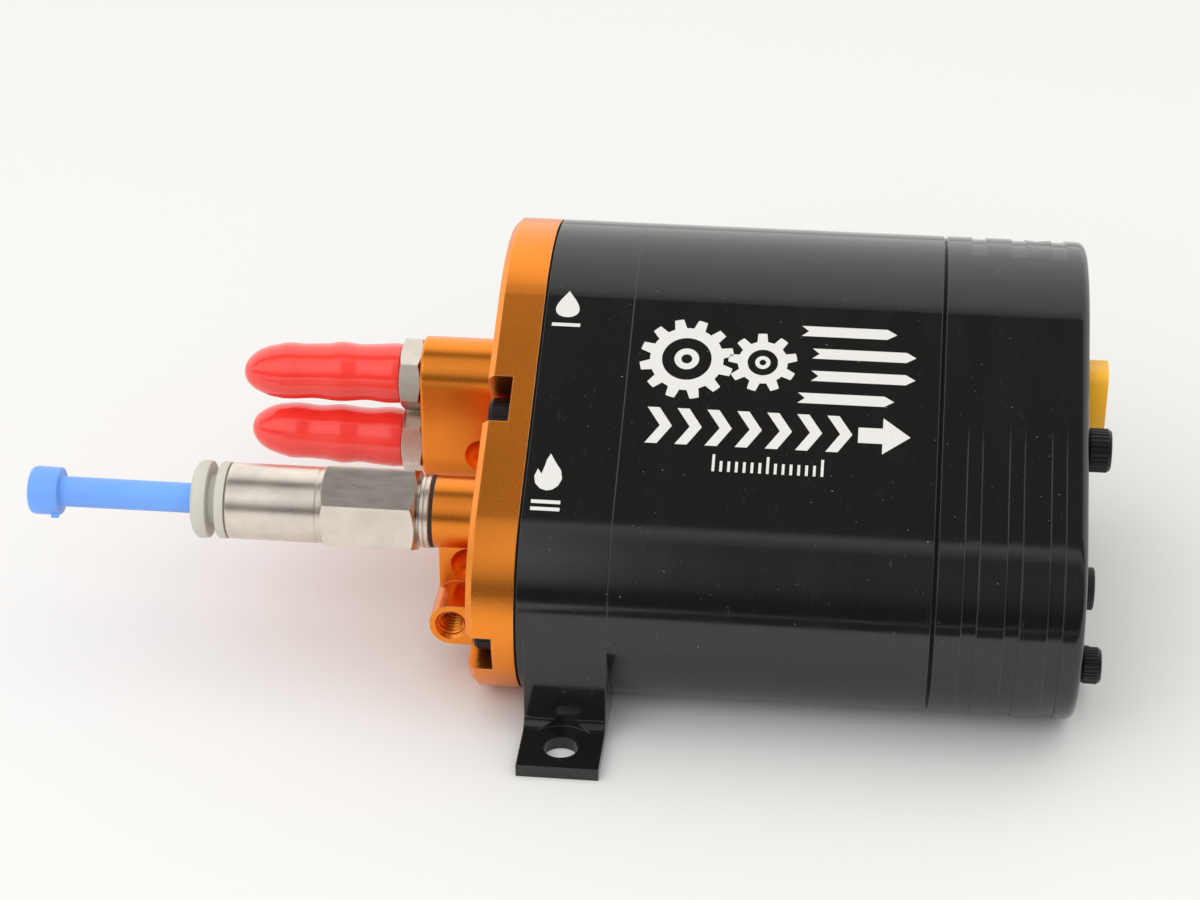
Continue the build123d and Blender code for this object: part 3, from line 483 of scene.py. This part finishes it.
# ---- Vinyl caps ----
def vinyl_cap(name, body, length, droop, lift, swell):
    """Soft dipped cap: a thin sleeve with a blunt nose and two slack swells where it grips the barb.
    It sits slightly askew: lift raises its mouth, and droop lowers its nose from there."""
    centre, nose, mouth = span(name)
    mouth += 0.2 * mm
    tip = mouth - length
    outer, wall = 3.62 * mm, 0.9 * mm
    profile = [(tip, 0)]
    for step in range(1, 12):
        turned = math.pi / 2 * step / 12
        profile.append((tip + 5.2 * mm * (1 - math.cos(turned) ** 1.2), outer * math.sin(turned) ** 0.9))
    for step in range(41):
        share = step / 40
        x = tip + 5.2 * mm + (length - 5.4 * mm) * share
        waves = sum(size * math.exp(-((share - middle) / width) ** 2) for middle, width, size in swell)
        profile.append((x, outer + waves * mm))
    lip = profile[-1][1]
    profile += [(mouth - 0.06 * mm, lip - 0.05 * mm), (mouth, lip - 0.22 * mm),
                (mouth, lip - wall + 0.15 * mm), (mouth - 0.1 * mm, lip - wall)]
    for step in range(1, 9):
        share = step / 8
        profile.append((mouth - (length - 8 * mm) * share, 2.78 * mm + 0.1 * mm * math.cos(9 * share)))
    profile += [(tip + 6 * mm, 2.3 * mm), (tip + 5 * mm, 1.4 * mm), (tip + 4.6 * mm, 0)]

    def askew(point):
        along = max(0, (mouth - point.x) / length) ** 1.6
        ripple = 0.02 * mm * math.sin(point.x / mm * 1.7 + centre[1] / mm)
        return point + Vector((0, ripple * 0.5, lift + droop * along + ripple))

    mesh = bmesh.new()
    turn(mesh, centre, profile, 72, askew)
    return finish_piece(f"{name}_dipped", mesh, vinyl, body, [name], 50)


vinyl_cap("fuel_outlet_cap", "outlet_cap", 21.2 * mm, -0.65 * mm, 0.05 * mm,
          ((0.06, 0.1, 0.12), (0.5, 0.13, 0.32), (0.93, 0.17, 0.34)))
vinyl_cap("fuel_inlet_cap", "inlet_cap", 20.6 * mm, 0.47 * mm, -0.1 * mm,
          ((0.06, 0.1, 0.12), (0.46, 0.12, 0.3), (0.9, 0.18, 0.34)))

# ---- Push-in fitting ----
outlet, fitting_front, fitting_end = span("start_fitting_body")
_, seal_front, seal_back = span("start_port_seal")
fitting_hex_turn = math.radians(30.3)


def fitting_body():
    """Plated body: stud, flange, long hexagon and a turned barrel with a rolled front lip."""
    flange, neck, barrel = 4.7 * mm, 3.6 * mm, 4.85 * mm
    flange_front = seal_front - 1.3 * mm
    hex_back = flange_front - 0.4 * mm
    hex_front = hex_back - 12.05 * mm
    cartridge, tube, passage = 3.5 * mm, 2.3 * mm, 1.4 * mm
    flats = 10 * mm
    stop = fitting_front + 15 * mm
    profile = [(fitting_front + 0.15 * mm, cartridge), (fitting_front, cartridge + 0.15 * mm),
               (fitting_front, barrel - 0.4 * mm), (fitting_front + 0.08 * mm, barrel - 0.16 * mm),
               (fitting_front + 0.3 * mm, barrel - 0.02 * mm), (fitting_front + 0.6 * mm, barrel),
               (hex_front - 0.7 * mm, barrel), (hex_front - 0.62 * mm, barrel - 0.07 * mm),
               (hex_front - 0.45 * mm, barrel - 0.07 * mm), (hex_front - 0.37 * mm, barrel),
               (hex_front, barrel)]
    profile += chamfered_hexagon(hex_front, hex_back, flats, 4.9 * mm, fitting_hex_turn, 0.55)
    profile += [(hex_back, neck), (flange_front, neck), (flange_front, flange - 0.25 * mm),
                (flange_front + 0.08 * mm, flange - 0.08 * mm), (flange_front + 0.25 * mm, flange),
                (flange_front + 0.55 * mm, flange), (flange_front + 0.65 * mm, flange - 0.12 * mm),
                (flange_front + 0.75 * mm, flange), (seal_front - 0.12 * mm, flange),
                (seal_front, flange - 0.12 * mm),
                (seal_front, neck - 0.25 * mm), (seal_back, neck - 0.25 * mm), (seal_back, 2.5 * mm),
                (fitting_end - 0.4 * mm, 2.5 * mm), (fitting_end, 2.1 * mm), (fitting_end, passage),
                (stop, passage), (stop, tube), (stop - 6 * mm, tube), (stop - 6 * mm, cartridge)]
    mesh = bmesh.new()
    turn(mesh, outlet, profile, 144)
    return finish_piece("start_fitting_turned", mesh, nickel, "pump_body",
                        ["start_fitting_body"], 20)


fitting_body()


def release_collar():
    """Off-white collar: domed front, flat back and a sleeve that reaches into the fitting."""
    centre, front, back = span("start_release_collar")
    length, outer, bore, sleeve_radius = 2.1 * mm, 5.0 * mm, 2.3 * mm, 3.15 * mm
    profile = rounded([(front + 0.35 * mm, bore, 0), (front, bore + 0.5 * mm, 0.3 * mm),
                       (front, outer - 0.9 * mm, 0.5 * mm), (front + 0.5 * mm, outer - 0.1 * mm, 0.5 * mm),
                       (front + 1.2 * mm, outer, 0.3 * mm), (front + length, outer - 0.1 * mm, 0.25 * mm),
                       (front + length, sleeve_radius, 0), (back, sleeve_radius, 0), (back, bore, 0)], 5)
    mesh = bmesh.new()
    turn(mesh, centre, profile, 96)
    return finish_piece("start_release_collar_moulded", mesh, off_white, "release_collar",
                        ["start_release_collar"], 40)


release_collar()


def front_ring():
    """Off-white ring pressed into the front of the fitting."""
    centre, front, back = span("start_fitting_ring")
    outer, bore = 4.9 * mm, 3.5 * mm
    profile = rounded([(front, bore, 0), (front, outer, 0.25 * mm), (back, outer, 0.12 * mm),
                       (back, bore, 0)], 4)
    mesh = bmesh.new()
    turn(mesh, centre, profile, 96)
    return finish_piece("start_fitting_ring_moulded", mesh, off_white, "pump_body",
                        ["start_fitting_ring"], 40)


front_ring()


def tube_plug():
    """Blue plug: pin with a rounded end, a disc head and the moulding's gate nib."""
    centre, front, back = span("start_plug")
    pin, head, head_length = 1.95 * mm, 3.1 * mm, 4.0 * mm
    profile = rounded([(front, 0, 0), (front, head - 0.3 * mm, 0.6 * mm),
                       (front + 0.6 * mm, head, 0.35 * mm),
                       (front + head_length, head - 0.05 * mm, 0.35 * mm),
                       (front + head_length, pin, 0.3 * mm),
                       (back, pin - 0.06 * mm, 0.5 * mm), (back, 0, 0)], 5)
    mesh = bmesh.new()
    turn(mesh, centre, profile, 72)
    nib = ((centre[0] - head * 0.72, centre[1] - head * 0.72))
    turn(mesh, nib, rounded([(front + 2.9 * mm, 0, 0), (front + 2.9 * mm, 0.42 * mm, 0.15 * mm),
                             (front + head_length - 0.1 * mm, 0.38 * mm, 0.15 * mm),
                             (front + head_length - 0.1 * mm, 0, 0)], 3), 24)
    return finish_piece("start_plug_moulded", mesh, blue, "tube_plug", ["start_plug"], 45)


tube_plug()


# ---- Marks on the flank: flat shapes, a hair proud of the metal ----
lobe_gap = Vector((fuel_y - start_y, fuel_z - start_z))
tilt = (start_z - fuel_z) / lobe_gap.length
across = lobe_gap.normalized()
lean = math.sqrt(1 - tilt ** 2)
normal_2d = tilt * across + lean * Vector((-across.y, across.x))
flank_normal = Vector((0, normal_2d.x, normal_2d.y))
flank_down = Vector((0, -normal_2d.y, normal_2d.x))
flank_top = Vector((0, fuel_y, fuel_z)) + fuel_z * flank_normal
mark_height = 0.012 * mm


class Marks:
    """Collects flat outlines on the flank. Points are (x, t) in millimetres, t running down the slope."""

    def __init__(self):
        self.mesh = bmesh.new()

    def lay(self, x, t, height):
        return flank_top + Vector((x * mm, 0, 0)) + flank_down * (t * mm) + flank_normal * height

    def strip(self, first, second, closed=True):
        """Solid band between two outlines that have as many points as each other."""
        count = len(first)
        rows = [[self.mesh.verts.new(self.lay(x, t, height)) for x, t in outline]
                for outline, height in ((first, mark_height), (second, mark_height),
                                        (second, -mark_height), (first, -mark_height))]
        for index in range(count if closed else count - 1):
            after = (index + 1) % count
            for row in range(4):
                low, high = rows[row], rows[(row + 1) % 4]
                self.mesh.faces.new((low[index], low[after], high[after], high[index]))
        if not closed:
            for end in (0, count - 1):
                self.mesh.faces.new([row[end] for row in rows])

    def patch(self, outline):
        """Solid flat shape with one outline."""
        top = [self.mesh.verts.new(self.lay(x, t, mark_height)) for x, t in outline]
        bottom = [self.mesh.verts.new(self.lay(x, t, -mark_height)) for x, t in outline]
        self.mesh.faces.new(top)
        self.mesh.faces.new(list(reversed(bottom)))
        for index in range(len(outline)):
            after = (index + 1) % len(outline)
            self.mesh.faces.new((top[index], bottom[index], bottom[after], top[after]))


def circle(x, t, radius, count=96):
    return [(x + radius * math.cos(2 * math.pi * i / count), t + radius * math.sin(2 * math.pi * i / count))
            for i in range(count)]


def gear_outline(x, t, root, tip, teeth, phase):
    """Toothed outline, eight points to a tooth."""
    points = []
    steps = (root, root, root, tip, tip, tip, tip, root)
    for index in range(teeth * 8):
        angle = 2 * math.pi * (index / 8 + phase) / teeth
        radius = steps[index % 8]
        points.append((x + radius * math.cos(angle), t + radius * math.sin(angle)))
    return points


def draw_marks():
    """Two meshing gears with flow bars, a flow arrow, a tick scale and a sign beside each port."""
    marks = Marks()
    for x, t, root, tip, teeth, phase, bore in ((12.4, 8.6, 4.6, 5.9, 12, 0.0, 3.1),
                                                (21.9, 8.6, 3.1, 4.3, 9, 0.1, 1.9)):
        outline = gear_outline(x, t, root, tip, teeth, phase)
        marks.strip(outline, circle(x, t, bore, teeth * 8))
        marks.strip(circle(x, t, bore * 0.5, 48), circle(x, t, bore * 0.22, 48))
    for t, left, right in ((3.6, 26.5, 38.4), (6.9, 28.0, 40.9), (10.2, 28.0, 40.9), (13.5, 26.5, 38.4)):
        marks.patch([(left, t - 0.75), (right - 1.2, t - 0.75), (right, t), (right - 1.2, t + 0.75),
                     (left, t + 0.75), (left + 0.9, t)])
    for index in range(7):
        x = 8.1 + index * 3.7
        marks.patch([(x, 15.9), (x + 1.5, 15.9), (x + 3.2, 18.5), (x + 1.5, 21.1), (x, 21.1),
                     (x + 1.7, 18.5)])
    marks.patch([(34.2, 17.4), (37.2, 17.4), (37.2, 15.9), (40.6, 18.5), (37.2, 21.1), (37.2, 19.6),
                 (34.2, 19.6)])
    for index in range(15):
        x = 16.6 + index * 0.95
        top = 22.3 if index % 7 == 0 else 23.2
        marks.patch([(x, top), (x + 0.34, top), (x + 0.34, 24.7), (x, 24.7)])
    drop = []
    for index in range(48):
        angle = 2 * math.pi * index / 48
        drop.append((-3.2 + 2.1 * math.sin(angle) * math.sin(angle / 2) ** 1.4, 1.2 - 2.0 * math.cos(angle)))
    marks.patch(drop)
    flame = [(-3.2, 23.4), (-2.5, 24.6), (-1.75, 25.7), (-1.5, 26.9), (-1.9, 27.9), (-2.6, 28.5),
             (-3.3, 28.65), (-4.1, 28.4), (-4.75, 27.7), (-4.95, 26.7), (-4.6, 25.6), (-4.1, 26.3),
             (-3.8, 25.2), (-3.6, 24.2)]
    marks.patch(flame)
    for x, t, count in ((-5.0, 4.1, 1), (-5.0, 30.0, 2)):
        for index in range(count):
            marks.patch([(x, t + index * 1.0), (x + 3.6, t + index * 1.0), (x + 3.6, t + 0.5 + index * 1.0),
                         (x, t + 0.5 + index * 1.0)])
    return finish_piece("laser_marks", marks.mesh, marking, "pump_body", (), 30)


draw_marks()


# ---- Thread in the start inlet ----
def inlet_thread():
    """Helical ridge of an M4 thread just inside the bore's wall, from its mouth inwards."""
    mount = next(item for item in frame["record"]["mounts"] if item["name"] == "start_inlet_thread")
    centre = Vector(mount["pos_m"])
    radius = mount["dims"]["r_mm"] * mm
    run_in = 0.05 * mm
    mouth = centre.y - mount["dims"]["length_mm"] / 2 * mm - run_in
    pitch, depth, turns, columns = 0.7 * mm, 0.34 * mm, 7, 40
    section = ((-0.3, 0.02), (-0.06, -1.0), (0.06, -1.0), (0.3, 0.02))
    mesh = bmesh.new()
    rings = []
    for index in range(turns * columns + 1):
        angle = 2 * math.pi * index / columns
        fade = min(1, index / columns, (turns * columns - index) / columns)
        ring = []
        for along, inward in section:
            r = radius + (inward * depth * fade if inward < 0 else inward * mm)
            y = mouth + pitch * index / columns + along * mm
            ring.append(mesh.verts.new((centre.x + r * math.cos(angle), y, centre.z + r * math.sin(angle))))
        rings.append(ring)
    for first, second in zip(rings, rings[1:]):
        for index in range(4):
            after = (index + 1) % 4
            mesh.faces.new((first[index], first[after], second[after], second[index]))
    mesh.faces.new(rings[0])
    mesh.faces.new(rings[-1])
    return finish_piece("start_inlet_thread", mesh, orange, "pump_body", (), 30)


inlet_thread()

# ---- Floor, light and camera ----
def sheet(name, low, high, height, surface):
    """Flat level sheet for the studio."""
    mesh = bpy.data.meshes.new(name)
    corners = [(low[0], low[1], height), (high[0], low[1], height), (high[0], high[1], height),
               (low[0], high[1], height)]
    mesh.from_pydata(corners, [], [(0, 1, 2, 3)])
    mesh.materials.append(surface)
    made = bpy.data.objects.new(name, mesh)
    bpy.context.scene.collection.objects.link(made)
    return made


def studio():
    """Pale floor, soft lamps, and a tent that only reflections see: dark at the horizon and right above,
    and dimmer low down towards the right."""
    sheet("studio_floor", (-4, -4), (4, 4), 0, material("studio_paper", (0.8, 0.795, 0.785), 0.0, 0.9))
    card = sheet("black_card", (-0.02, -0.75), (1, -0.13), 0.5 * mm,
                 material("card_black", (0.004, 0.004, 0.004), 0.0, 0.9))
    card.visible_camera = card.visible_diffuse = card.visible_shadow = card.visible_transmission = False
    for name, spot, width, height, power in (("softbox_top", (0.0, 0.1, 0.8), 1.3, 0.9, 1.9),
                                             ("fill_front", (-0.2, -0.7, 0.6), 1.0, 0.7, 3.0)):
        lamp = bpy.data.lights.new(name, "AREA")
        lamp.shape, lamp.size, lamp.size_y, lamp.energy = "RECTANGLE", width, height, power
        holder = bpy.data.objects.new(name, lamp)
        holder.location = spot
        holder.rotation_euler = (Vector((0, 0, 0.02)) - Vector(spot)).to_track_quat("-Z", "Y").to_euler()
        holder.visible_glossy = False
        bpy.context.scene.collection.objects.link(holder)

    world = bpy.data.worlds.new("studio_room")
    bpy.context.scene.world = world
    world.use_nodes = True
    background = world.node_tree.nodes["Background"]
    background.inputs["Color"].default_value = (1, 0.995, 0.98, 1)
    way = node(world, "ShaderNodeSeparateXYZ", {0: node(world, "ShaderNodeTexCoord").outputs["Generated"]})
    front = node(world, "ShaderNodeMath", {0: way.outputs["Y"]}, operation="MULTIPLY")
    front.inputs[1].default_value = -1
    rise = node(world, "ShaderNodeMath", {0: way.outputs["Z"], 1: front.outputs[0]}, operation="ARCTAN2")
    ramp = node(world, "ShaderNodeValToRGB", {"Fac": remap(world, rise.outputs[0], 0, math.pi, 0, 1)})
    tent = ramp.color_ramp
    stops = ((0, 0.03), (12, 0.03), (26, 0.75), (45, 1.0), (76, 0.7), (82, 0.07), (97, 0.07), (101, 0.75),
             (130, 1.0), (180, 1.0))
    for index, (degrees, level) in enumerate(stops):
        stop = tent.elements[index] if index < 2 else tent.elements.new(degrees / 180)
        stop.position = degrees / 180
        stop.color = (level, level, level, 1)
    bright, dim = 1.25, 0.2
    to_left = remap(world, way.outputs["X"], -0.12, -0.07, bright, dim)
    overhead = remap(world, rise.outputs[0], 1.05, 1.35, 0, bright)
    panel = node(world, "ShaderNodeMath", {0: to_left, 1: overhead}, operation="MAXIMUM")
    seen = times(world, ramp.outputs["Color"], panel.outputs[0])
    rays = node(world, "ShaderNodeLightPath")
    level = node(world, "ShaderNodeMapRange", {"Value": rays.outputs["Is Glossy Ray"], "To Max": seen})
    level.inputs["To Min"].default_value = 0.87
    world.node_tree.links.new(level.outputs["Result"], background.inputs["Strength"])


def camera():
    """Camera where the photographer stood."""
    lens = bpy.data.cameras.new("camera")
    lens.sensor_width = 36
    lens.lens = 88.58
    lens.clip_start, lens.clip_end = 0.01, 20
    stand = bpy.data.objects.new("camera", lens)
    stand.location = (35.3 * mm, -332.6 * mm, 211.9 * mm)
    stand.rotation_euler = (math.radians(90 - 29.69), math.radians(0.0), math.radians(5.93))
    bpy.context.scene.collection.objects.link(stand)
    bpy.context.scene.camera = stand


studio()
camera()
bpy.context.scene.view_settings.view_transform = "Standard"
